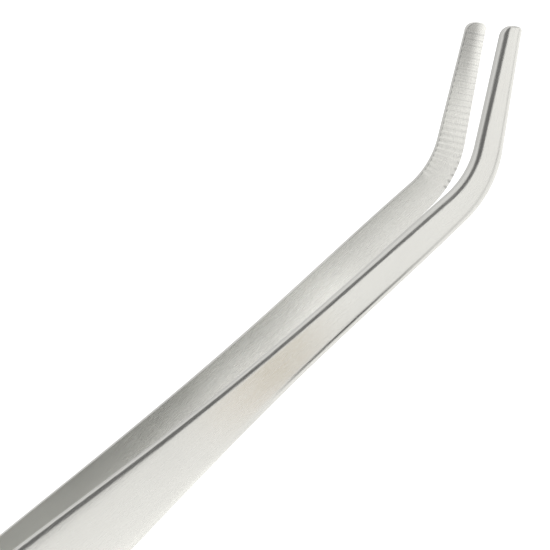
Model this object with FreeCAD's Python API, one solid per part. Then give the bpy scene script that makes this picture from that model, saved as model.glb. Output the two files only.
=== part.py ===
"""Curved aquascaping tweezers: two stainless steel legs welded together at the tail.

Frame: +X runs from the tail to the tips, +Y from the near leg to the far leg, +Z is up.
The tool lies on the lower long edges of its grips, with the tips curving upwards.
The origin is on that resting plane, at the centre of the bounding box. Lengths are in mm.
"""
import FreeCAD
import Part
import math
import os

V = FreeCAD.Vector

# Overall size
LENGTH = 250.0          # tail end to the furthest point of the tips, along X
GRIP_WIDTH = 13.6       # widest part of each leg, in the finger grips
TAIL_WIDTH = 6.4        # width of the welded tab
JAW_ROOT_WIDTH = 4.7    # width where the edgewise bend starts
JAW_MID_WIDTH = 4.1     # width where the bend ends
TIP_WIDTH = 3.0         # width just behind the rounded nose

# Edgewise bend of the jaws
BEND_ANGLE = math.radians(37.3)
BEND_RADIUS = 15.0      # on the centreline
TIP_LENGTH = 18.15      # straight length beyond the bend, on the centreline
NOSE_RADIUS_INNER = 1.9     # tip corner on the concave side of the bend
NOSE_RADIUS_OUTER = 0.9     # tip corner on the convex side

# Strip thickness
SHANK_THICKNESS = 1.42
JAW_THICKNESS = 1.9
THICKENING_LENGTH = 30.0    # the strip thickens over this length behind the bend

# Stations along the leg, as X
TAIL_X = -LENGTH / 2
TAB_LENGTH = 13.0       # the legs touch and are welded over this length
GRIP_START_X = -34.0
GRIP_END_X = 10.0

# Opening of the legs at rest
TAB_BEND_RADIUS = 60.0
LEG_SLOPE = 0.0375      # half-opening gained per mm, from the tab to the end of the grips
GRIP_TO_BEND_GAPS = [(15.0, 0.75), (39.0, 2.3), (67.5, 3.6)]   # beyond the grips: (run, gain)
BEND_GAP = 8.4          # half-opening at the start of the bend
TIP_GAP = 7.3           # half-opening at the tips

# Flare from the grips to the jaws: (distance behind the bend, full width)
FLARE = [(76.5, 12.0), (61.7, 9.4), (38.0, 6.25), (19.0, 5.3)]

# Edge break along the outer faces
EDGE_RADIUS = 0.45

# Serrations on the jaws' inner faces
TOOTH_PITCH = 0.92
TOOTH_DEPTH = 0.09
TOOTH_LAND = 0.16       # flat left between neighbouring teeth on the centreline
TOOTH_COUNT = 26
TOOTH_END_CLEARANCE = 1.1   # smooth land between the last tooth and the nose

# Shallow finger grooves across the grips' outer faces
GROOVE_COUNT = 15
GROOVE_PITCH = 2.4
GROOVE_RADIUS = 1.1
GROOVE_DEPTH = 0.25

# Weld seam around the tail
TAIL_CORNER_RADIUS = 2.4
WELD_LEG = 0.65         # half-width at the surface and depth of the V-groove
WELD_CROWN = 0.12       # how far the bead stands proud

CUT_MARGIN = 2.0        # how far a cutting body runs past what it cuts
TOUCH = 1e-3            # lengths below this count as zero
OUTER_SHARE = 0.9       # an edge this far through the strip, as a share of it, is an outer one
SHARP_COSINE = 0.5      # two faces meet in a sharp edge if their normals' product is below this

# Derived places
CENTRE_Z = GRIP_WIDTH / 2
BEND_ARC = BEND_RADIUS * BEND_ANGLE
CENTRELINE_REACH = BEND_RADIUS * math.sin(BEND_ANGLE) + TIP_LENGTH * math.cos(BEND_ANGLE)
NOSE_REACH = (TIP_WIDTH / 2 - NOSE_RADIUS_OUTER) * math.sin(BEND_ANGLE)
NOSE_REACH += NOSE_RADIUS_OUTER * (1.0 - math.cos(BEND_ANGLE))
BEND_X = LENGTH / 2 - CENTRELINE_REACH - NOSE_REACH
TAB_X = TAIL_X + TAB_LENGTH
EDGE_TAIL_X = TAIL_X + WELD_CROWN


def centreline(run):
    """Point and direction angle of the leg's centreline, run mm beyond the start of the bend."""
    if run <= 0.0:
        return BEND_X + run, CENTRE_Z, 0.0
    angle = min(run / BEND_RADIUS, BEND_ANGLE)
    x = BEND_X + BEND_RADIUS * math.sin(angle)
    z = CENTRE_Z + BEND_RADIUS * (1.0 - math.cos(angle))
    straight = max(run - BEND_ARC, 0.0)
    return x + straight * math.cos(angle), z + straight * math.sin(angle), angle


def beside(run, offset):
    """Point offset mm from the centreline; a positive offset is on the concave side."""
    x, z, angle = centreline(run)
    return V(x - offset * math.sin(angle), 0.0, z + offset * math.cos(angle))


def jaw_width(run):
    """Full width beyond the start of the bend: two linear tapers, then the parallel nose."""
    if run <= BEND_ARC:
        return JAW_ROOT_WIDTH + (JAW_MID_WIDTH - JAW_ROOT_WIDTH) * run / BEND_ARC
    share = min((run - BEND_ARC) / (TIP_LENGTH - NOSE_RADIUS_INNER), 1.0)
    return JAW_MID_WIDTH + (TIP_WIDTH - JAW_MID_WIDTH) * share


def smooth_edge(points, first=None, last=None):
    """Spline edge through the points, with given end directions where stated."""
    curve = Part.BSplineCurve()
    if first is None:
        curve.interpolate(points)
    else:
        curve.interpolate(Points=points, InitialTangent=first, FinalTangent=last)
    return curve.toShape()


def long_edge(side):
    """Edges of one long side of the plan outline, tail to nose; side is +1 for the upper one."""
    tail = V(EDGE_TAIL_X + TAIL_CORNER_RADIUS, 0, CENTRE_Z + side * TAIL_WIDTH / 2)
    tab = V(TAB_X, 0, CENTRE_Z + side * TAIL_WIDTH / 2)
    grip_start = V(GRIP_START_X, 0, CENTRE_Z + side * GRIP_WIDTH / 2)
    grip_end = V(GRIP_END_X, 0, CENTRE_Z + side * GRIP_WIDTH / 2)
    widening = GRIP_START_X - TAB_X
    front = [grip_end]
    front += [beside(-run, side * width / 2) for run, width in FLARE]
    bend_steps = [BEND_ARC * step / 3 for step in range(4)]
    nose = NOSE_RADIUS_INNER if side > 0 else NOSE_RADIUS_OUTER
    nose_run = BEND_ARC + TIP_LENGTH - nose
    tip_steps = [BEND_ARC + (nose_run - BEND_ARC) * step / 3 for step in range(1, 4)]
    front += [beside(run, side * jaw_width(run) / 2) for run in bend_steps + tip_steps]
    tip_way = V(math.cos(BEND_ANGLE), 0, math.sin(BEND_ANGLE))
    edges = [
        Part.makeLine(tail, tab),
        smooth_edge([tab, grip_start], V(widening, 0, 0), V(widening, 0, 0)),
        Part.makeLine(grip_start, grip_end),
        smooth_edge(front, V(1, 0, 0), tip_way),
    ]
    return edges, tail, front[-1]


def rounded_corner(start, corner, end, radius):
    """Arc from start to end that rounds off the given right-angled corner."""
    centre = start + end - corner
    middle = centre + (corner - centre).normalize() * radius
    return Part.Arc(start, middle, end).toShape()


def plan_outline():
    """Closed outline of a leg seen along Y."""
    upper, upper_tail, upper_nose = long_edge(+1)
    lower, lower_tail, lower_nose = long_edge(-1)
    tail_top = V(EDGE_TAIL_X, 0, upper_tail.z - TAIL_CORNER_RADIUS)
    tail_bottom = V(EDGE_TAIL_X, 0, lower_tail.z + TAIL_CORNER_RADIUS)
    end_run = BEND_ARC + TIP_LENGTH
    half_tip = jaw_width(end_run) / 2
    nose_top = beside(end_run, half_tip - NOSE_RADIUS_INNER)
    nose_bottom = beside(end_run, NOSE_RADIUS_OUTER - half_tip)
    nose_corner_top = beside(end_run, half_tip)
    nose_corner_bottom = beside(end_run, -half_tip)
    edges = upper + lower
    edges.append(rounded_corner(upper_tail, V(EDGE_TAIL_X, 0, upper_tail.z), tail_top, TAIL_CORNER_RADIUS))
    edges.append(Part.makeLine(tail_top, tail_bottom))
    edges.append(rounded_corner(lower_tail, V(EDGE_TAIL_X, 0, lower_tail.z), tail_bottom, TAIL_CORNER_RADIUS))
    edges.append(rounded_corner(upper_nose, nose_corner_top, nose_top, NOSE_RADIUS_INNER))
    edges.append(Part.makeLine(nose_top, nose_bottom))
    edges.append(rounded_corner(lower_nose, nose_corner_bottom, nose_bottom, NOSE_RADIUS_OUTER))
    return Part.Wire(Part.__sortEdges__(edges))


def face_line(thickness_at):
    """Edges of one face of the far leg's side profile, from the tab to past the tips.

    thickness_at gives the distance from the inner face at each station, zero for the inner face.
    """
    tab_offset = thickness_at(TAIL_X)
    bend_run = TAB_BEND_RADIUS * LEG_SLOPE
    tab_start = V(TAIL_X - CUT_MARGIN, tab_offset, 0)
    tab_end = V(TAB_X, tab_offset, 0)
    slope_start = V(TAB_X + bend_run, tab_offset + bend_run * LEG_SLOPE / 2, 0)
    middle = V(TAB_X + bend_run / 2, tab_offset + bend_run * LEG_SLOPE / 8, 0)
    grip_gap = LEG_SLOPE * (GRIP_END_X - TAB_X - bend_run / 2)
    grip_end = V(GRIP_END_X, tab_offset + grip_gap, 0)
    points = [grip_end]
    for run, gain in GRIP_TO_BEND_GAPS:
        x = GRIP_END_X + run
        points.append(V(x, grip_gap + gain + thickness_at(x), 0))
    points.append(V(BEND_X, BEND_GAP + thickness_at(BEND_X), 0))
    points.append(V(LENGTH / 2 + CUT_MARGIN, TIP_GAP + thickness_at(LENGTH / 2), 0))
    jaw_fall = V(points[-1].x - points[-2].x, points[-1].y - points[-2].y, 0)
    bow = smooth_edge(points, V(1, LEG_SLOPE, 0) * jaw_fall.x, jaw_fall)
    edges = [
        Part.makeLine(tab_start, tab_end),
        Part.Arc(tab_end, middle, slope_start).toShape(),
        Part.makeLine(slope_start, grip_end),
        bow,
    ]
    return edges, tab_start, points[-1]


def strip_thickness(x):
    """Thickness of the steel strip at station x."""
    share = (x - BEND_X + THICKENING_LENGTH) / THICKENING_LENGTH
    share = min(max(share, 0.0), 1.0)
    return SHANK_THICKNESS + (JAW_THICKNESS - SHANK_THICKNESS) * share


def far_leg_blank():
    """The far leg before its teeth, grooves and weld preparation are cut."""
    inner, inner_tail, inner_tip = face_line(lambda x: 0.0)
    outer, outer_tail, outer_tip = face_line(strip_thickness)
    edges = inner + outer
    edges.append(Part.makeLine(inner_tail, outer_tail))
    edges.append(Part.makeLine(inner_tip, outer_tip))
    side_face = Part.Face(Part.Wire(Part.__sortEdges__(edges)))
    strip = side_face.extrude(V(0, 0, 2 * GRIP_WIDTH))
    plan_face = Part.Face(plan_outline())
    plan_face.translate(V(0, -CUT_MARGIN, 0))
    plan = plan_face.extrude(V(0, GRIP_WIDTH, 0))
    return strip.common(plan).Solids[0]


def gap_at(x):
    """Half-opening of the legs at station x: the inner face's distance from the middle plane."""
    inner, _, _ = face_line(lambda station: 0.0)
    probe = Part.makeLine(V(x, -GRIP_WIDTH, 0), V(x, GRIP_WIDTH, 0))
    return probe.distToShape(Part.Wire(inner))[1][0][0].y


def outer_rim(piece):
    """Sharp edges along the outer face of a stretch of the far leg."""
    rim = []
    for edge in piece.Edges:
        middle = edge.valueAt((edge.FirstParameter + edge.LastParameter) / 2)
        across = edge.BoundBox.XLength < TOUCH and edge.Length > TAIL_CORNER_RADIUS
        if across or middle.y < gap_at(middle.x) + OUTER_SHARE * strip_thickness(middle.x):
            continue
        normals = []
        for face in piece.ancestorsOfType(edge, Part.Face):
            normals.append(face.normalAt(*face.Surface.parameter(middle)))
        if abs(normals[0].dot(normals[1])) < SHARP_COSINE:
            rim.append(edge)
    return rim


def round_outer_rim(blank):
    """The blank with its outer edges broken, worked in two stretches that meet in the grips."""
    stretches = []
    for start, end in [(TAIL_X - CUT_MARGIN, GRIP_END_X), (GRIP_END_X, LENGTH / 2 + CUT_MARGIN)]:
        corner = V(start, -GRIP_WIDTH, -CUT_MARGIN)
        region = Part.makeBox(end - start, 3 * GRIP_WIDTH, 3 * GRIP_WIDTH, corner)
        stretch = blank.common(region).Solids[0]
        stretches.append(stretch.makeFillet(EDGE_RADIUS, outer_rim(stretch)))
    return stretches[0].fuse(stretches[1]).Solids[0]


def tooth_gaps(shift):
    """V-shaped cutters across the far leg's inner jaw face, moved shift mm away from the tip."""
    last = BEND_ARC + TIP_LENGTH - TOOTH_END_CLEARANCE - TOOTH_PITCH / 2 - shift
    cutters = []
    for index in range(TOOTH_COUNT):
        x, z, angle = centreline(last - index * TOOTH_PITCH)
        gap = gap_at(x)
        half = (TOOTH_PITCH - TOOTH_LAND) / 2
        profile = Part.makePolygon([
            V(-half, gap, 0),
            V(-half, gap - CUT_MARGIN, 0),
            V(half, gap - CUT_MARGIN, 0),
            V(half, gap, 0),
            V(0, gap + TOOTH_DEPTH, 0),
            V(-half, gap, 0),
        ])
        cutter = Part.Face(profile).extrude(V(0, 0, GRIP_WIDTH))
        cutter.translate(V(0, 0, -GRIP_WIDTH / 2))
        cutter.rotate(V(0, 0, 0), V(0, 1, 0), -math.degrees(angle))
        cutter.translate(V(x, 0, z))
        cutters.append(cutter)
    return cutters


def finger_grooves():
    """Round-bottomed cutters across the far leg's outer grip face."""
    middle = (GRIP_START_X + GRIP_END_X) / 2
    depth_line = GROOVE_RADIUS - GROOVE_DEPTH
    cutters = []
    for index in range(GROOVE_COUNT):
        x = middle + (index - (GROOVE_COUNT - 1) / 2) * GROOVE_PITCH
        y = gap_at(x) + SHANK_THICKNESS + depth_line
        base = V(x, y, -CUT_MARGIN)
        cutters.append(Part.makeCylinder(GROOVE_RADIUS, GRIP_WIDTH + 2 * CUT_MARGIN, base))
    return cutters


def weld_seam():
    """Bead round the tail that fills the groove between the two tabs."""
    corner = TAIL_CORNER_RADIUS
    half = TAIL_WIDTH / 2
    path = []
    for side in (+1, -1):
        front = V(TAB_X, 0, CENTRE_Z + side * half)
        turn = V(EDGE_TAIL_X + corner, 0, front.z)
        end = V(EDGE_TAIL_X, 0, front.z - side * corner)
        path.append(Part.makeLine(front, turn))
        path.append(rounded_corner(turn, V(end.x, 0, turn.z), end, corner))
    top_end = V(EDGE_TAIL_X, 0, CENTRE_Z + half - corner)
    bottom_end = V(EDGE_TAIL_X, 0, CENTRE_Z - half + corner)
    path.append(Part.makeLine(top_end, bottom_end))
    spine = Part.Wire(Part.__sortEdges__(path))
    surface_z = CENTRE_Z + half
    left = V(TAB_X, -WELD_LEG, surface_z)
    right = V(TAB_X, WELD_LEG, surface_z)
    root = V(TAB_X, 0, surface_z - WELD_LEG)
    crown = V(TAB_X, 0, surface_z + WELD_CROWN)
    section = Part.Wire([
        Part.makeLine(root, left),
        Part.Arc(left, crown, right).toShape(),
        Part.makeLine(right, root),
    ])
    return spine.makePipeShell([section], True, True)


def build_legs(seam):
    """The far leg and its mirror image, the near leg, with teeth that mesh when closed."""
    blank = round_outer_rim(far_leg_blank())
    common_cuts = finger_grooves() + [seam]
    legs = {}
    for name, shift in [("far_leg", 0.0), ("near_leg", TOOTH_PITCH / 2)]:
        leg = blank.cut(Part.makeCompound(common_cuts + tooth_gaps(shift))).Solids[0]
        if name == "near_leg":
            leg = leg.mirror(V(0, 0, 0), V(0, 1, 0))
        legs[name] = leg
    return legs


def main():
    os.makedirs("parts", exist_ok=True)
    seam = weld_seam()
    pieces = build_legs(seam)
    pieces["tail_weld"] = seam
    for name, shape in pieces.items():
        box = shape.BoundBox
        print(name, "valid", shape.isValid(), "solids", len(shape.Solids), "faces", len(shape.Faces),
              "volume %.1f" % shape.Volume, "x %.2f..%.2f y %.2f..%.2f z %.2f..%.2f"
              % (box.XMin, box.XMax, box.YMin, box.YMax, box.ZMin, box.ZMax))
        shape.exportStep("parts/" + name + ".step")


main()
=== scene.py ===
"""Looks of the curved aquascaping tweezers: two brushed steel legs and the weld that joins them.

Shapes are worked out in millimetres in the part's own frame and made in metres: +X runs from the
tail to the tips, +Y from the near leg to the far leg, +Z up. Overall places come from the frame.
"""
import bpy
import math
import numpy as np
from mathutils import Matrix, Vector


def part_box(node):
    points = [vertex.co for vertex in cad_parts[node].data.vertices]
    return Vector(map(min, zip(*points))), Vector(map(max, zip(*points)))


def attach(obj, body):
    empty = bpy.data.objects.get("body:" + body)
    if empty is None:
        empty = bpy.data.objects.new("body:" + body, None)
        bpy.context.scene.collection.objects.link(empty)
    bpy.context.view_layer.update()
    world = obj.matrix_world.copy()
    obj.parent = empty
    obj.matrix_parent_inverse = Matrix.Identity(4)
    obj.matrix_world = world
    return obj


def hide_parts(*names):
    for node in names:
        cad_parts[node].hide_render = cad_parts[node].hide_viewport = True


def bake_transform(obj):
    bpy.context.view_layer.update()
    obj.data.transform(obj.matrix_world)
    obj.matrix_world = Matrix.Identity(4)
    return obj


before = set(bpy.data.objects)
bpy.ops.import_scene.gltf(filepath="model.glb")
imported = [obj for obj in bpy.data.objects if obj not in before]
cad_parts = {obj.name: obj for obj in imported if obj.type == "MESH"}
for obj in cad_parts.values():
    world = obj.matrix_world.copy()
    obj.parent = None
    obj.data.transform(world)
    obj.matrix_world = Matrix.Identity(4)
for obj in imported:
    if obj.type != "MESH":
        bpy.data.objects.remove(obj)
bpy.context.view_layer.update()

MM = 0.001

# Places taken from the frame, in mm
WELD_LOW, WELD_HIGH = [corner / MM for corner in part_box("tail_weld")]
LEG_LOW, LEG_HIGH = [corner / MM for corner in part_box("far_leg")]
TAIL_X = LEG_LOW.x
TIP_X = LEG_HIGH.x
TAB_X = WELD_HIGH.x
CENTRE_Z = (WELD_LOW.z + WELD_HIGH.z) / 2
GRIP_WIDTH = 2 * CENTRE_Z

# Plan shape of a leg
TAIL_WIDTH = 6.4
JAW_ROOT_WIDTH = 4.7
JAW_MID_WIDTH = 4.1
TIP_WIDTH = 3.0
BEND_ANGLE = math.radians(37.3)
BEND_RADIUS = 15.0
TIP_LENGTH = 18.15
BEND_ARC = BEND_RADIUS * BEND_ANGLE
END_RUN = BEND_ARC + TIP_LENGTH
NOSE_RADIUS_UPPER = 1.9
NOSE_RADIUS_LOWER = 0.9
NOSE_RADIUS_OUTER = 0.3
TAIL_CORNER_RADIUS = 2.4
GRIP_START_X = -34.0
GRIP_END_X = 10.0
FLARE = [(76.5, 12.0), (61.7, 9.4), (38.0, 6.25), (19.0, 5.3)]
REACH = BEND_RADIUS * math.sin(BEND_ANGLE) + TIP_LENGTH * math.cos(BEND_ANGLE)
REACH += (TIP_WIDTH / 2 - NOSE_RADIUS_LOWER) * math.sin(BEND_ANGLE)
REACH += NOSE_RADIUS_LOWER * (1.0 - math.cos(BEND_ANGLE))
BEND_X = TIP_X - REACH

# Side shape of a leg: the gap to the middle plane, and the strip's thickness
LEG_SLOPE = 0.0375
TAB_BEND_RADIUS = 60.0
GRIP_TO_BEND_GAPS = [(15.0, 0.75), (39.0, 2.3), (67.5, 3.6)]
BEND_GAP = 8.4
TIP_GAP = 7.3
SHANK_THICKNESS = 1.42
JAW_THICKNESS = 1.9
THICKENING_LENGTH = 30.0

# Edges and crown of the section
INNER_EDGE_RADIUS = 0.08
HOLD = 0.03             # a loop this close to the inner edge keeps the flats beside it flat
SHANK_DROP = 0.45       # outer corners are elliptical: their size through the strip, and across it
JAW_DROP = 0.95
MOST_DROP = 0.9         # share of the thickness that an outer corner may take
SHANK_REACH = 0.85
JAW_UPPER_REACH = 0.97
JAW_LOWER_REACH = 1.2
UPPER_REACH = (-15.0, 3.0)      # runs between which each grows from the shank's size to the jaw's
UPPER_DROP = (-50.0, 10.0)
LOWER_GROWTH = (-60.0, -28.0)
CROWN_WIDTH_GRIP = 2.3
CROWN_WIDTH_JAW = 0.6
CROWN_DROP_GRIP = 0.2
CROWN_DROP_JAW = 0.03
CROWN_POWER = 1.4
CROWN_CHANGE = (-76.0, -40.0)   # runs between which the crown goes from grip size to jaw size

# Teeth and finger grooves
TOOTH_PITCH = 0.92
TOOTH_COUNT = 26
TOOTH_DEPTH = 0.09
TOOTH_LAND = 0.16
TOOTH_END_CLEARANCE = 1.1
HALF_GAP = (TOOTH_PITCH - TOOTH_LAND) / 2
GROOVE_COUNT = 15
GROOVE_PITCH = 2.4
GROOVE_RADIUS = 1.1
GROOVE_DEPTH = 0.25
GROOVE_MIDDLE_X = (GRIP_START_X + GRIP_END_X) / 2

# Weld bead
WELD_HALF_WIDTH = 0.65
WELD_CROWN = 0.12
RIPPLE_PITCH = 0.55
RIPPLE_HEIGHT = 0.035
RIPPLE_BOW = 0.35       # how far a ripple lags at the sides of the bead

# How finely the meshes are divided
SPLINE_SAMPLES = 600
TAB_ARC_POINTS = 9
PAST_END = 2.0          # the face curves run on this far past both ends of the leg
PLAIN_STEP = 1.0        # between sections where nothing changes quickly
STEPS_PER_GROOVE = 16
STEPS_PER_RIPPLE = 8
CLOSEST_SECTIONS = 0.012
INNER_FACE_POINTS = 11
OUTER_FACE_POINTS = 21
SIDE_POINTS = 4
INNER_EDGE_ANGLES = (30, 60)
OUTER_CORNER_ANGLES = range(10, 90, 10)
BEAD_POINTS = 15
SHARP_ANGLE = math.radians(28)


def clamped_spline(points, first, last):
    """Smooth cubic curve through points, with given end directions, as dense x and y arrays."""
    points = np.array(points, float)
    steps = np.hypot(*np.diff(points, axis=0).T)
    knots = np.concatenate([[0.0], np.cumsum(steps)])
    count = len(points)
    system = np.zeros((count, count))
    target = np.zeros((count, 2))
    system[0, 0] = system[-1, -1] = 1.0
    target[0] = np.array(first) / np.hypot(*first)
    target[-1] = np.array(last) / np.hypot(*last)
    for i in range(1, count - 1):
        before, after = steps[i - 1], steps[i]
        system[i, i - 1: i + 2] = [after, 2 * (before + after), before]
        rise_before = after * (points[i] - points[i - 1]) / before
        rise_after = before * (points[i + 1] - points[i]) / after
        target[i] = 3 * (rise_before + rise_after)
    slopes = np.linalg.solve(system, target)
    at = np.linspace(0.0, knots[-1], SPLINE_SAMPLES)
    piece = np.clip(np.searchsorted(knots, at, side="right") - 1, 0, count - 2)
    length = steps[piece][:, None]
    share = (at - knots[piece])[:, None] / length
    value = (1 + 2 * share) * (1 - share) ** 2 * points[piece]
    value += share * (1 - share) ** 2 * length * slopes[piece]
    value += share ** 2 * (3 - 2 * share) * points[piece + 1]
    value += share ** 2 * (share - 1) * length * slopes[piece + 1]
    return value[:, 0], value[:, 1]


def smooth_step(low, high, value):
    """0 below low and 1 above high, with a smooth change between them."""
    share = np.clip((value - low) / (high - low), 0.0, 1.0)
    return share * share * (3 - 2 * share)


def between(run, span, first, last):
    """Value that changes smoothly from first to last over a span of runs."""
    return first + (last - first) * float(smooth_step(*span, run))


def strip_thickness(x):
    """Thickness across the strip at x, which grows on the way to the bend."""
    share = np.clip((x - BEND_X + THICKENING_LENGTH) / THICKENING_LENGTH, 0.0, 1.0)
    return SHANK_THICKNESS + (JAW_THICKNESS - SHANK_THICKNESS) * share


def face_curve(offset_at):
    """Dense x and y of a leg face seen along Z; offset_at is its distance from the inner face."""
    bend_run = TAB_BEND_RADIUS * LEG_SLOPE
    tab = offset_at(TAIL_X)
    arc_x = np.linspace(0.0, bend_run, TAB_ARC_POINTS)
    arc_y = tab + arc_x ** 2 / (2 * TAB_BEND_RADIUS)
    grip_gap = LEG_SLOPE * (GRIP_END_X - TAB_X - bend_run / 2)
    points = [(GRIP_END_X, tab + grip_gap)]
    for run, gain in GRIP_TO_BEND_GAPS:
        x = GRIP_END_X + run
        points.append((x, grip_gap + gain + offset_at(x)))
    points.append((BEND_X, BEND_GAP + offset_at(BEND_X)))
    points.append((TIP_X + PAST_END, TIP_GAP + offset_at(TIP_X)))
    fall = (points[-1][0] - points[-2][0], points[-1][1] - points[-2][1])
    bow_x, bow_y = clamped_spline(points, (1.0, LEG_SLOPE), fall)
    x = np.concatenate([[TAIL_X - PAST_END], TAB_X + arc_x, bow_x])
    y = np.concatenate([[tab], arc_y, bow_y])
    return x, y


INNER_CURVE = face_curve(lambda x: 0.0)
OUTER_CURVE = face_curve(strip_thickness)


def gap_at(x):
    """Distance from the middle plane to the inner face."""
    return np.interp(x, *INNER_CURVE)


def thickness_at(x):
    """Thickness measured along Y."""
    return np.interp(x, *OUTER_CURVE) - gap_at(x)


def jaw_half_width(run):
    """Half-width in front of the start of the bend."""
    on_bend = JAW_ROOT_WIDTH + (JAW_MID_WIDTH - JAW_ROOT_WIDTH) * run / BEND_ARC
    share = np.clip((run - BEND_ARC) / (TIP_LENGTH - NOSE_RADIUS_UPPER), 0.0, 1.0)
    on_tip = JAW_MID_WIDTH + (TIP_WIDTH - JAW_MID_WIDTH) * share
    return np.where(run <= BEND_ARC, on_bend, on_tip) / 2


def plan_curve():
    """Dense run and half-width of a leg from the tab to the bend."""
    back = [(TAB_X, TAIL_WIDTH / 2), (GRIP_START_X, GRIP_WIDTH / 2)]
    widening = clamped_spline(back, (1, 0), (1, 0))
    front = [(GRIP_END_X, GRIP_WIDTH / 2)]
    front += [(BEND_X - run, width / 2) for run, width in FLARE]
    front += [(BEND_X + run, float(jaw_half_width(run))) for run in (0.0, BEND_ARC)]
    narrowing = clamped_spline(front, (1, 0), (BEND_ARC, (JAW_MID_WIDTH - JAW_ROOT_WIDTH) / 2))
    x = np.concatenate([[TAIL_X], widening[0], narrowing[0]])
    half = np.concatenate([[TAIL_WIDTH / 2], widening[1], narrowing[1]])
    return x - BEND_X, half


PLAN_CURVE = plan_curve()


def rounded_end(distance, radius):
    """How much a corner of that radius takes off the width, at a distance from the end."""
    inside = np.clip(radius - distance, 0.0, radius)
    return radius - np.sqrt(radius ** 2 - inside ** 2)


def half_widths(run):
    """Half-width of the plain strip, then what its rounded ends leave above and below."""
    half = np.where(run < 0.0, np.interp(run, *PLAN_CURVE), jaw_half_width(run))
    tail = rounded_end(run - (TAIL_X - BEND_X), TAIL_CORNER_RADIUS)
    upper = half - tail - rounded_end(END_RUN - run, NOSE_RADIUS_UPPER)
    lower = half - tail - rounded_end(END_RUN - run, NOSE_RADIUS_LOWER)
    return half, upper, lower


def centreline(run):
    """X, Z and direction angle of the centreline."""
    angle = np.clip(run / BEND_RADIUS, 0.0, BEND_ANGLE)
    straight = np.maximum(run - BEND_ARC, 0.0)
    x = BEND_X + np.minimum(run, 0.0) + BEND_RADIUS * np.sin(angle) + straight * np.cos(angle)
    z = CENTRE_Z + BEND_RADIUS * (1.0 - np.cos(angle)) + straight * np.sin(angle)
    return x, z, angle


def last_gap(shift):
    """Run of the middle of the gap between teeth nearest the tip."""
    return END_RUN - TOOTH_END_CLEARANCE - TOOTH_PITCH / 2 - shift


def tooth_depth(run, shift):
    """Depth of the V-shaped gaps in the inner jaw face."""
    last = last_gap(shift)
    index = np.round((last - run) / TOOTH_PITCH)
    off_centre = np.abs(run - (last - index * TOOTH_PITCH))
    depth = TOOTH_DEPTH * np.clip(1.0 - off_centre / HALF_GAP, 0.0, 1.0)
    return np.where((index >= 0) & (index < TOOTH_COUNT), depth, 0.0)


def groove_depth(x):
    """Depth of the finger grooves in the outer grip face."""
    index = np.round((x - GROOVE_MIDDLE_X) / GROOVE_PITCH)
    off_centre = x - GROOVE_MIDDLE_X - index * GROOVE_PITCH
    bottom = np.sqrt(np.maximum(GROOVE_RADIUS ** 2 - off_centre ** 2, 0.0))
    depth = np.maximum(bottom - GROOVE_RADIUS + GROOVE_DEPTH, 0.0)
    return np.where(np.abs(index) <= (GROOVE_COUNT - 1) / 2, depth, 0.0)


def leg_stations(shift):
    """Runs of the sections of a leg: close together where the shape changes quickly."""
    # Tail corner and tab
    tail_run = TAIL_X - BEND_X
    corner_angles = np.radians(np.arange(0, 90, 10))
    runs = list(tail_run + TAIL_CORNER_RADIUS * (1 - np.cos(corner_angles)))
    runs += list(np.arange(tail_run + TAIL_CORNER_RADIUS, GRIP_START_X - BEND_X, PLAIN_STEP))
    # Finger grooves, with plain steel on both sides of them
    groove_step = GROOVE_PITCH / STEPS_PER_GROOVE
    groove_span = GROOVE_COUNT * GROOVE_PITCH / 2
    middle = GROOVE_MIDDLE_X - BEND_X
    runs += list(np.arange(GRIP_START_X - BEND_X, middle - groove_span, PLAIN_STEP))
    runs += list(middle + np.arange(-groove_span, groove_span + groove_step / 2, groove_step))
    runs += list(np.arange(middle + groove_span + PLAIN_STEP, -PLAIN_STEP / 2, PLAIN_STEP))
    # Teeth: five sections in each gap between them
    first = last_gap(shift) - (TOOTH_COUNT - 1) * TOOTH_PITCH
    runs += list(np.linspace(0.0, first - HALF_GAP, 5)[:-1])
    for index in range(TOOTH_COUNT):
        centre = first + index * TOOTH_PITCH
        runs += [centre + part * HALF_GAP for part in (-1.0, -0.5, 0.0, 0.5, 1.0)]
    # Nose
    nose_angles = np.radians(np.arange(0, 91, 6))
    runs += list(END_RUN - NOSE_RADIUS_UPPER + NOSE_RADIUS_UPPER * np.sin(nose_angles))
    runs = np.array(sorted(runs))
    return runs[np.concatenate([[True], np.diff(runs) > CLOSEST_SECTIONS])]


def section(half, upper, lower, thick, upper_corner, lower_corner):
    """Ring of (across, depth) points of one section, from the lower inner edge round to itself.

    A corner is (reach, drop): its elliptical rounding's size across the face and through the strip.
    """
    small = INNER_EDGE_RADIUS
    upper_reach, upper_drop = upper_corner
    lower_reach, lower_drop = lower_corner
    flat_top = half - upper_reach
    flat_bottom = half - lower_reach
    points = [(-lower + small, 0.0)]
    first, last = -lower + small + HOLD, upper - small - HOLD
    points += [(u, 0.0) for u in np.linspace(first, last, INNER_FACE_POINTS)]
    points.append((upper - small, 0.0))
    for angle in np.radians(INNER_EDGE_ANGLES):
        points.append((upper - small + small * math.sin(angle), small - small * math.cos(angle)))
    points.append((upper, small))
    points += [(upper, v) for v in np.linspace(small + HOLD, thick - upper_drop, SIDE_POINTS)]
    for angle in np.radians(OUTER_CORNER_ANGLES):
        across = min(flat_top + upper_reach * math.cos(angle), upper)
        points.append((across, thick - upper_drop + upper_drop * math.sin(angle)))
    first, last = min(flat_top, upper), -min(flat_bottom, lower)
    points += [(u, thick) for u in np.linspace(first, last, OUTER_FACE_POINTS)]
    for angle in np.radians(OUTER_CORNER_ANGLES)[::-1]:
        across = min(flat_bottom + lower_reach * math.cos(angle), lower)
        points.append((-across, thick - lower_drop + lower_drop * math.sin(angle)))
    points += [(-lower, v) for v in np.linspace(thick - lower_drop, small + HOLD, SIDE_POINTS)]
    points.append((-lower, small))
    for angle in np.radians(INNER_EDGE_ANGLES)[::-1]:
        points.append((-lower + small - small * math.sin(angle), small - small * math.cos(angle)))
    return np.array(points)


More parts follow.
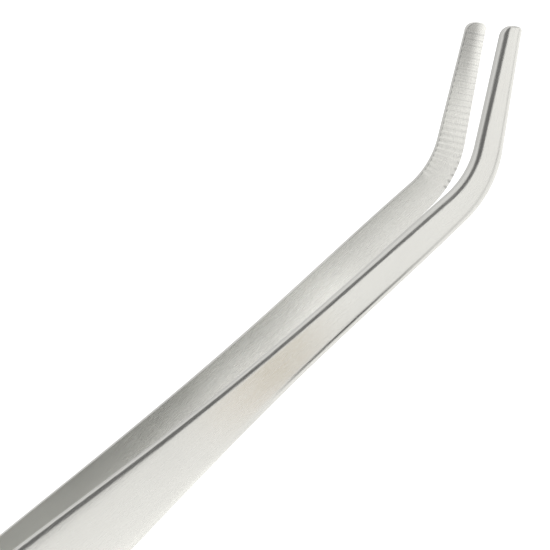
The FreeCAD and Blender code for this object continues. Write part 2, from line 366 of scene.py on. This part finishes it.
def leg_mesh(name, side, shift):
    """A leg as a smooth tube of sections; side is +1 for the far leg and -1 for the near one."""
    rings, strips = [], []
    for run in leg_stations(shift):
        half, upper, lower = [float(v) for v in half_widths(run)]
        x, z, angle = [float(v) for v in centreline(run)]
        thick = float(thickness_at(x)) - float(rounded_end(END_RUN - run, NOSE_RADIUS_OUTER))
        most_drop = MOST_DROP * thick - INNER_EDGE_RADIUS
        upper_corner = (between(run, UPPER_REACH, SHANK_REACH, JAW_UPPER_REACH),
                        min(between(run, UPPER_DROP, SHANK_DROP, JAW_DROP), most_drop))
        lower_corner = (between(run, LOWER_GROWTH, SHANK_REACH, JAW_LOWER_REACH),
                        min(between(run, LOWER_GROWTH, SHANK_DROP, JAW_DROP), most_drop))
        ring = section(half, upper, lower, thick, upper_corner, lower_corner)
        across, depth = ring[:, 0], ring[:, 1].copy()
        # The outer face falls away towards its edges and has the grooves; the inner has the teeth
        from_edge = np.minimum(upper - across, across + lower)
        crown_width = between(run, CROWN_CHANGE, CROWN_WIDTH_GRIP, CROWN_WIDTH_JAW)
        crown_drop = between(run, CROWN_CHANGE, CROWN_DROP_GRIP, CROWN_DROP_JAW)
        drop = crown_drop * np.clip(1.0 - from_edge / crown_width, 0.0, 1.0) ** CROWN_POWER
        depth *= 1.0 - drop / thick
        depth = np.minimum(depth, thick - float(groove_depth(x)))
        depth = np.maximum(depth, float(tooth_depth(run, shift)))
        point_x = x - across * math.sin(angle)
        point_z = z + across * math.cos(angle)
        point_y = side * (gap_at(point_x) + depth)
        rings.append(np.stack([point_x, point_y, point_z], axis=1))
        strips.append(np.stack([np.full(len(across), run), across, depth], axis=1))
    return tube_object(name, rings, strips, flip=side > 0)


def tube_object(name, rings, strips, flip):
    """Closed tube through rings of equal length, with capped ends and a strip attribute in mm."""
    count = len(rings[0])
    verts = np.concatenate(rings) * MM
    faces = []
    for i in range(len(rings) - 1):
        for j in range(count):
            k = (j + 1) % count
            a, b = i * count + j, i * count + k
            faces.append((a, b, b + count, a + count))
    faces.append(tuple(range(count - 1, -1, -1)))
    faces.append(tuple(range((len(rings) - 1) * count, len(rings) * count)))
    if flip:
        faces = [tuple(reversed(face)) for face in faces]
    mesh = bpy.data.meshes.new(name)
    mesh.from_pydata([tuple(v) for v in verts], [], faces)
    mesh.validate()
    mesh.polygons.foreach_set("use_smooth", [True] * len(mesh.polygons))
    mesh.set_sharp_from_angle(angle=SHARP_ANGLE)
    attribute = mesh.attributes.new("strip", "FLOAT_VECTOR", "POINT")
    attribute.data.foreach_set("vector", np.concatenate(strips).astype(np.float32).ravel())
    mesh.update()
    piece = bpy.data.objects.new(name, mesh)
    bpy.context.scene.collection.objects.link(piece)
    return piece


near = leg_mesh("near_leg_strip", -1, TOOTH_PITCH / 2)
far = leg_mesh("far_leg_strip", +1, 0.0)
for piece, node in ((near, "near_leg"), (far, "far_leg")):
    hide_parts(node)
    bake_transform(piece)


def weld_path():
    """Places along the tail edge: X, Z, and the outward direction in the XZ plane."""
    radius = TAIL_CORNER_RADIUS
    top = CENTRE_Z + TAIL_WIDTH / 2
    bottom = CENTRE_Z - TAIL_WIDTH / 2
    corner_x = TAIL_X + radius
    step = RIPPLE_PITCH / STEPS_PER_RIPPLE
    straight = np.arange(TAB_X, corner_x, -step)
    turn = np.linspace(0.0, math.pi / 2, int(radius * math.pi / 2 / step))
    places = [(x, top, 0.0, 1.0) for x in straight]
    for angle in turn:
        out_x, out_z = -math.sin(angle), math.cos(angle)
        places.append((corner_x + radius * out_x, top - radius * (1 - out_z), out_x, out_z))
    down = np.arange(top - radius - step, bottom + radius, -step)
    places += [(TAIL_X, z, -1.0, 0.0) for z in down]
    for angle in turn:
        out_x, out_z = -math.cos(angle), -math.sin(angle)
        places.append((corner_x + radius * out_x, bottom + radius * (1 + out_z), out_x, out_z))
    places += [(x, bottom, 0.0, -1.0) for x in straight[::-1]]
    return places


def weld_mesh(name):
    """The weld bead: a V root under a crown whose ripples bow towards the start of the run."""
    rings, strips = [], []
    places = weld_path()
    travelled = 0.0
    for index, (x, z, out_x, out_z) in enumerate(places):
        if index:
            travelled += math.hypot(x - places[index - 1][0], z - places[index - 1][1])
        surface = np.linspace(-WELD_HALF_WIDTH, WELD_HALF_WIDTH, BEAD_POINTS)
        across = np.concatenate([[0.0], surface])
        share = surface / WELD_HALF_WIDTH
        crown = WELD_CROWN * (1.0 - share ** 2)
        phase = (travelled + RIPPLE_BOW * share ** 2) / RIPPLE_PITCH
        ripple = RIPPLE_HEIGHT * (1.0 - share ** 2) * (phase % 1.0) ** 2
        height = np.concatenate([[-WELD_HALF_WIDTH], crown - ripple])
        ring = np.stack([x + out_x * height, across, z + out_z * height], axis=1)
        rings.append(ring)
        strips.append(np.stack([np.full(len(across), travelled), across, height], axis=1))
    return tube_object(name, rings, strips, flip=False)


weld = weld_mesh("tail_weld_bead")
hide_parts("tail_weld")
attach(weld, "tail")


class Nodes:
    """Small helper that adds and links shader nodes."""

    def __init__(self, tree):
        self.tree = tree
        tree.nodes.clear()

    def add(self, kind, inputs=(), **settings):
        """New node: inputs are values or sockets to link, settings are its own properties."""
        node = self.tree.nodes.new(kind)
        for key, value in settings.items():
            setattr(node, key, value)
        for socket, value in dict(inputs).items():
            if isinstance(value, bpy.types.NodeSocket):
                self.tree.links.new(value, node.inputs[socket])
            else:
                node.inputs[socket].default_value = value
        return node

    def maths(self, operation, first, second=0.0):
        """Result of one arithmetic operation."""
        node = self.add("ShaderNodeMath", {0: first, 1: second}, operation=operation)
        return node.outputs[0]

    def product(self, *factors):
        """All factors multiplied together."""
        result = factors[0]
        for factor in factors[1:]:
            result = self.maths("MULTIPLY", result, factor)
        return result

    def choice(self, factor, first, second, kind="FLOAT"):
        """First where the factor is 0, second where it is 1."""
        inputs = {"Factor": factor, "A": first, "B": second}
        return self.add("ShaderNodeMix", inputs, data_type=kind).outputs["Result"]

    def ramp(self, value, low, high, out_low=0.0, out_high=1.0, smooth=True):
        """Change from out_low to out_high while the value goes from low to high."""
        kind = "SMOOTHSTEP" if smooth else "LINEAR"
        node = self.add("ShaderNodeMapRange", {
            "Value": value,
            "From Min": low,
            "From Max": high,
            "To Min": out_low,
            "To Max": out_high,
        }, interpolation_type=kind)
        return node.outputs["Result"]

    def curve(self, value, stops):
        """Smooth value through (place, value) stops; values lie between 0 and 2."""
        low, high = stops[0][0], stops[-1][0]
        share = self.ramp(value, low, high, smooth=False)
        node = self.add("ShaderNodeValToRGB", {"Fac": share})
        node.color_ramp.interpolation = "EASE"
        while len(node.color_ramp.elements) < len(stops):
            node.color_ramp.elements.new(0.5)
        for element, (place, level) in zip(node.color_ramp.elements, stops):
            element.position = (place - low) / (high - low)
            element.color = (level / 2, level / 2, level / 2, 1.0)
        return self.maths("MULTIPLY", node.outputs["Color"], 2.0)

    def noise(self, vector, frequencies, detail, roughness):
        """Noise with its own frequency, per mm, along each axis of the vector."""
        node = self.add("ShaderNodeTexNoise", {
            "Vector": self.scaled(vector, frequencies),
            "Scale": 1.0,
            "Detail": detail,
            "Roughness": roughness,
        })
        return node.outputs["Fac"]

    def scaled(self, vector, factors):
        """Vector or colour times a factor, or times one for each axis."""
        node = self.add("ShaderNodeVectorMath", {0: vector, 1: factors}, operation="MULTIPLY")
        return node.outputs["Vector"]

    def seen_by_camera(self):
        """1 where the camera looks straight at the surface, and 0 in reflections and light."""
        return self.add("ShaderNodeLightPath").outputs["Is Camera Ray"]


# In every ramp below: start, end, value up to the start, value from the end on

# Steel patterns: how often each repeats per mm along the strip, across it and through it
STREAKS = (0.25, 9.0, 9.0)
HAIRLINES = (0.6, 30.0, 30.0)
CLOUDS = (0.06, 0.22, 0.22)
SCRATCHES = (0.35, 5.0, 1.0)
SCRATCH_WIDTH = 0.008           # how far the noise may be from its middle level on a scratch
TONE_SPAN = (0.3, 0.7)          # levels of the patterns that give the darkest and lightest steel
STREAKS_IN_TONE = 0.35          # the clouds have the rest
STREAKS_IN_HEIGHT = 0.6         # the hairlines have the rest
SCRATCH_IN_HEIGHT = 0.15
GRAIN_DEPTH = 0.00002           # in metres
STREAK_ROUGHNESS = (-0.05, 0.05)        # over the tone span
CLOUD_ROUGHNESS = (0.35, 0.65, -0.015, 0.02)

# Finish of the inner faces, with painted light and shade, in mm: Z is through the strip, Y across
# it, and X the run
INNER_FACE_Z = (0.3, 0.5, 1.0, 0.0)
INNER_ROUGHNESS_X = (-85.0, -50.0, 0.2, 0.02)
# Painted shade along the upper side of the tip, and a painted highlight along its lower side
TIP_SHADE_X = (12.0, 27.0, 0.0, 1.0)
TIP_SHADE_Y = (-1.3, 0.5, 0.15, -0.5)
# Painted shade in the tooth gaps near the lower edge, around the start of the bend
TOOTH_GAP_SHADE_Z = (0.02, 0.09, 0.0, 1.0)
TOOTH_GAP_SHADE_Y = (-1.5, -2.0, 0.0, 1.0)
TOOTH_GAP_SHADE_START_X = (1.0, 3.0, 0.0, 1.0)
TOOTH_GAP_SHADE_END_X = (5.0, 11.0, 0.42, 0.0)

# Brightness of the inner faces along the leg, as (run, factor). The stops were set to
# bring the render's tone to the real object's under its own light, so it is partly polish and
# partly painted light and shade.
INNER_POLISH_AND_LIGHT = [
    (-95.0, 1.3), (-78.0, 1.06), (-67.0, 0.92), (-58.0, 0.86), (-51.0, 0.86), (-34.0, 1.07),
    (-22.0, 1.21), (-11.0, 0.99), (4.0, 0.97), (14.0, 1.1), (30.0, 1.14),
]


def inner_finish_and_painted_light(n, run, across, inner, depth):
    """Brightness factor of the inner faces: tone that is partly polish and partly painted light and
    shade, painted shade and highlight at the tip, painted shade in the first tooth gaps.
    """
    polish_and_light = n.maths("SUBTRACT", n.curve(run, INNER_POLISH_AND_LIGHT), 1.0)
    # Painted shade on the upper side of the tip, painted highlight on its lower side
    tip_shade_and_highlight = n.product(n.ramp(run, *TIP_SHADE_X), n.ramp(across, *TIP_SHADE_Y))
    finish_and_painted_light = n.maths("ADD", n.product(n.maths("ADD", polish_and_light, tip_shade_and_highlight), inner), 1.0)
    # Painted shade in the tooth gaps near the lower edge, nearest the bend
    tooth_gap_shade = n.product(n.ramp(depth, *TOOTH_GAP_SHADE_Z), n.ramp(across, *TOOTH_GAP_SHADE_Y))
    tooth_gap_shade = n.product(tooth_gap_shade, n.ramp(run, *TOOTH_GAP_SHADE_START_X), n.ramp(run, *TOOTH_GAP_SHADE_END_X), inner)
    return n.product(finish_and_painted_light, n.maths("SUBTRACT", 1.0, tooth_gap_shade))


def steel(name, light, dark, roughness, streak_bump):
    """Satin stainless steel, brushed along the strip, with fine scratches, slight staining, and
    painted light and shade on the inner faces.
    """
    material = bpy.data.materials.new(name)
    material.use_nodes = True
    n = Nodes(material.node_tree)
    strip = n.add("ShaderNodeAttribute", attribute_name="strip").outputs["Vector"]
    place = n.add("ShaderNodeSeparateXYZ", {0: strip})
    run, across, depth = [place.outputs[axis] for axis in "XYZ"]
    inner = n.ramp(depth, *INNER_FACE_Z)
    streaks = n.noise(strip, STREAKS, detail=4.0, roughness=0.62)
    hairlines = n.noise(strip, HAIRLINES, detail=3.0, roughness=0.6)
    clouds = n.noise(strip, CLOUDS, detail=3.0, roughness=0.55)
    scratches = n.noise(strip, SCRATCHES, detail=1.0, roughness=0.3)
    off_middle = n.maths("ABSOLUTE", n.maths("SUBTRACT", scratches, 0.5))
    scratch = n.ramp(off_middle, 0.0, SCRATCH_WIDTH, 1.0, 0.0)

    streak_tone = n.maths("MULTIPLY", streaks, STREAKS_IN_TONE)
    cloud_tone = n.maths("MULTIPLY", clouds, 1.0 - STREAKS_IN_TONE)
    colour = n.add("ShaderNodeValToRGB", {"Fac": n.maths("ADD", streak_tone, cloud_tone)})
    for element, level, shade in zip(colour.color_ramp.elements, TONE_SPAN, (dark, light)):
        element.position = level
        element.color = (*shade, 1.0)
    # Brightness factor: polish of the inner faces, with painted light and shade on them
    finish_and_painted_light = inner_finish_and_painted_light(n, run, across, inner, depth)

    rough = n.maths("ADD", n.ramp(streaks, *TONE_SPAN, *STREAK_ROUGHNESS), roughness)
    rough = n.maths("ADD", rough, n.ramp(clouds, *CLOUD_ROUGHNESS))
    rough = n.maths("ADD", rough, n.product(inner, n.ramp(run, *INNER_ROUGHNESS_X)))

    streak_height = n.maths("MULTIPLY", streaks, STREAKS_IN_HEIGHT)
    hairline_height = n.maths("MULTIPLY", hairlines, 1.0 - STREAKS_IN_HEIGHT)
    height = n.maths("ADD", streak_height, hairline_height)
    height = n.maths("SUBTRACT", height, n.maths("MULTIPLY", scratch, SCRATCH_IN_HEIGHT))
    bump = n.add("ShaderNodeBump", {
        "Strength": streak_bump,
        "Distance": GRAIN_DEPTH,
        "Height": height,
    })
    shader = n.add("ShaderNodeBsdfPrincipled", {
        "Base Color": n.scaled(colour.outputs["Color"], finish_and_painted_light),
        "Metallic": 1.0,
        "Roughness": rough,
        "Normal": bump.outputs["Normal"],
    })
    n.add("ShaderNodeOutputMaterial", {"Surface": shader.outputs["BSDF"]})
    return material


leg_steel = steel("brushed_stainless", light=(0.607, 0.612, 0.594), dark=(0.557, 0.562, 0.544),
                  roughness=0.24, streak_bump=0.6)
weld_steel = steel("weld_bead_stainless", light=(0.56, 0.54, 0.50), dark=(0.46, 0.43, 0.38),
                   roughness=0.34, streak_bump=0.8)
for piece, material in ((near, leg_steel), (far, leg_steel), (weld, weld_steel)):
    piece.data.materials.append(material)


WHITE_TO_CAMERA = 1.3           # brightness of the floor and the room where the camera sees them

# Dark gap in the room, as ramps over the parts of a direction: Z up, Y away, X to the tips
GAP_BOTTOM_Z = (0.0, 0.06, 0.0, 1.0)
GAP_TOP_Z = (0.80, 0.92, 1.0, 0.0)
GAP_FRONT_Y = (-0.35, 0.25, 1.0, 0.0)
GAP_END_X = (0.2, 0.48, 1.0, 0.0)
GAP_LIGHT = 0.23
ROOM_LIGHT_Z = (0.4, 0.85, 0.85, 1.1)
ROOM_COLOUR = (1.0, 0.985, 0.97, 1.0)


def studio_world():
    """White studio with one dark gap in front, between the floor and the overhead softbox."""
    world = bpy.data.worlds.new("studio")
    world.use_nodes = True
    bpy.context.scene.world = world
    n = Nodes(world.node_tree)
    way = n.add("ShaderNodeTexCoord").outputs["Generated"]
    split = n.add("ShaderNodeSeparateXYZ", {0: way})
    x, y, z = [split.outputs[axis] for axis in "XYZ"]
    gap = n.product(n.ramp(z, *GAP_BOTTOM_Z), n.ramp(z, *GAP_TOP_Z),
                    n.ramp(y, *GAP_FRONT_Y), n.ramp(x, *GAP_END_X))
    reflected = n.choice(gap, n.ramp(z, *ROOM_LIGHT_Z), GAP_LIGHT)
    strength = n.choice(n.seen_by_camera(), reflected, WHITE_TO_CAMERA)
    back = n.add("ShaderNodeBackground", {"Color": ROOM_COLOUR, "Strength": strength})
    n.add("ShaderNodeOutputWorld", {"Surface": back.outputs["Background"]})


# Floor as it is reflected, in metres: X is along the object, Y away from the camera, and side is
# the distance from the middle plane. Its shades were set to what the real steel reflects.
# A painted shadow, a dark band, lies along each side under the shank and jaws; the other shades are
# painted light and shade as well.
FLOOR_HALF_SIZE = 6.0
FLOOR_TINT = (1.0, 0.99, 0.975, 1.0)
FLOOR_LIGHT = 0.57
# Painted shadow: the dark band under each leg
BAND_MIDDLE_X = (0.098, 0.118, 0.0158, 0.0215)
BAND_EDGE = (0.0020, 0.0035, 1.0, 0.0)
BAND_START_X = (0.061, 0.071, 0.0, 1.0)
BAND_SHANK_X = (0.078, 0.098, 0.95, 0.2)
BAND_TIP_X = (0.106, 0.116, 0.0, 0.25)

# Painted light beside the front of the grip and the start of the shank, brightest close to the legs
# and turning to slight painted shade further out
OUTSIDE_SIDE = (0.008, 0.014, 0.0, 1.0)
OUTSIDE_FALL = (0.012, 0.045, 0.11, -0.12)
OUTSIDE_X = (0.030, 0.042, 0.03, 0.0)
GLOW_SIDE = (0.010, 0.014, 0.26, 0.0)
GLOW_START_X = (0.0, 0.020, 0.0, 1.0)
GLOW_END_X = (0.045, 0.062, 1.0, 0.0)

# Painted light: a narrow bright line that shows under the dark one on the near leg
SKIRT_INNER = (0.0085, 0.0095, 0.0, 1.0)
SKIRT_OUTER = (0.0110, 0.0120, 0.12, 0.0)
SKIRT_START_X = (0.055, 0.065, 0.0, 1.0)

# Painted shade: darker floor behind the object and towards its tail
BEHIND_Y = (0.012, 0.035, 1.0, 0.78)
TAIL_END_X = (-0.10, 0.010, 0.62, 1.0)

# Warm patches painted on the reflected floor, for a painted warm reflection in the steel: (centre,
# radius of full colour, radius where it ends, colour)
WARM_SPOTS = [
    ((0.0635, -0.036, 0.0), 0.006, 0.0165, (0.87, 0.795, 0.71)),
    ((0.0665, -0.039, 0.0), 0.003, 0.0105, (0.52, 0.45, 0.31)),
]


def floor_shade(n, x, y):
    """Brightness of the reflected floor, with painted shadow and light."""
    side = n.maths("ABSOLUTE", y)
    # The dark band is a painted shadow under each leg
    off_band = n.maths("ABSOLUTE", n.maths("SUBTRACT", side, n.ramp(x, *BAND_MIDDLE_X)))
    darkness = n.maths("ADD", n.ramp(x, *BAND_SHANK_X), n.ramp(x, *BAND_TIP_X))
    band = n.product(n.ramp(off_band, *BAND_EDGE), darkness, n.ramp(x, *BAND_START_X))
    # Painted light and shade beside the legs
    outside = n.maths("ADD", n.ramp(side, *OUTSIDE_FALL), n.ramp(x, *OUTSIDE_X))
    outside = n.product(outside, n.ramp(side, *OUTSIDE_SIDE))
    glow = n.maths("ADD", n.ramp(side, *GLOW_SIDE), outside)
    glow = n.product(glow, n.ramp(x, *GLOW_END_X), n.ramp(x, *GLOW_START_X))
    # Painted light: the narrow bright line under the near leg's dark one
    skirt = n.product(n.ramp(side, *SKIRT_INNER), n.ramp(side, *SKIRT_OUTER),
                      n.ramp(x, *SKIRT_START_X))
    shade = n.maths("ADD", n.maths("SUBTRACT", 1.0, band), n.maths("ADD", glow, skirt))
    return n.product(shade, n.ramp(y, *BEHIND_Y), n.ramp(x, *TAIL_END_X))


def floor():
    """Plain white floor to the camera; what the steel reflects of it has soft painted shadow and
    light.
    """
    size = FLOOR_HALF_SIZE
    mesh = bpy.data.meshes.new("floor")
    corners = [(-size, -size, 0.0), (size, -size, 0.0), (size, size, 0.0), (-size, size, 0.0)]
    mesh.from_pydata(corners, [], [(0, 1, 2, 3)])
    plane = bpy.data.objects.new("floor", mesh)
    bpy.context.scene.collection.objects.link(plane)
    material = bpy.data.materials.new("white_floor")
    material.use_nodes = True
    n = Nodes(material.node_tree)
    place = n.add("ShaderNodeNewGeometry").outputs["Position"]
    split = n.add("ShaderNodeSeparateXYZ", {0: place})
    tint = FLOOR_TINT
    for centre, full, end, colour in WARM_SPOTS:
        away = n.add("ShaderNodeVectorMath", {0: place, 1: centre}, operation="DISTANCE")
        spot = n.ramp(away.outputs["Value"], full, end, 1.0, 0.0)
        tint = n.choice(spot, tint, (*colour, 1.0), kind="RGBA")
    tint = n.scaled(tint, floor_shade(n, split.outputs["X"], split.outputs["Y"]))
    shaded = n.add("ShaderNodeBsdfPrincipled", {
        "Base Color": tint,
        "Roughness": 0.9,
        "Emission Color": tint,
        "Emission Strength": FLOOR_LIGHT,
    })
    plain = n.add("ShaderNodeEmission", {
        "Color": (1.0, 1.0, 1.0, 1.0),
        "Strength": WHITE_TO_CAMERA,
    })
    mix = n.add("ShaderNodeMixShader", {
        0: n.seen_by_camera(),
        1: shaded.outputs["BSDF"],
        2: plain.outputs["Emission"],
    })
    n.add("ShaderNodeOutputMaterial", {"Surface": mix.outputs["Shader"]})
    mesh.materials.append(material)


# Camera, in degrees and mm
CAMERA_AZIMUTH = -6.6
CAMERA_ELEVATION = 14.7
CAMERA_ROLL = -41.0
CAMERA_DISTANCE = 427.5
CAMERA_TARGET = (BEND_X - 25.5, 0.0, CENTRE_Z + 8.55)
LENS = 191.5
SENSOR_WIDTH = 36.0
CLIP_START = 0.02               # in metres
CLIP_END = 20.0


def camera():
    """Camera at the photographer's angle: low over the jaws, rolled so that they point up."""
    azimuth = math.radians(CAMERA_AZIMUTH)
    elevation = math.radians(CAMERA_ELEVATION)
    roll = math.radians(CAMERA_ROLL)
    level = math.cos(elevation)
    back = Vector((math.sin(azimuth) * level, -math.cos(azimuth) * level, math.sin(elevation)))
    right = Vector((math.cos(azimuth), math.sin(azimuth), 0.0))
    up = back.cross(right)
    turned_right = right * math.cos(roll) + up * math.sin(roll)
    turned_up = up * math.cos(roll) - right * math.sin(roll)
    place = (Vector(CAMERA_TARGET) + back * CAMERA_DISTANCE) * MM
    data = bpy.data.cameras.new("camera")
    data.lens = LENS
    data.sensor_width = SENSOR_WIDTH
    data.clip_start = CLIP_START
    data.clip_end = CLIP_END
    camera_object = bpy.data.objects.new("camera", data)
    bpy.context.scene.collection.objects.link(camera_object)
    rotation = Matrix((turned_right, turned_up, back)).transposed().to_4x4()
    camera_object.matrix_world = Matrix.Translation(place) @ rotation
    bpy.context.scene.camera = camera_object


studio_world()
floor()
camera()
bpy.context.scene.view_settings.view_transform = "Standard"
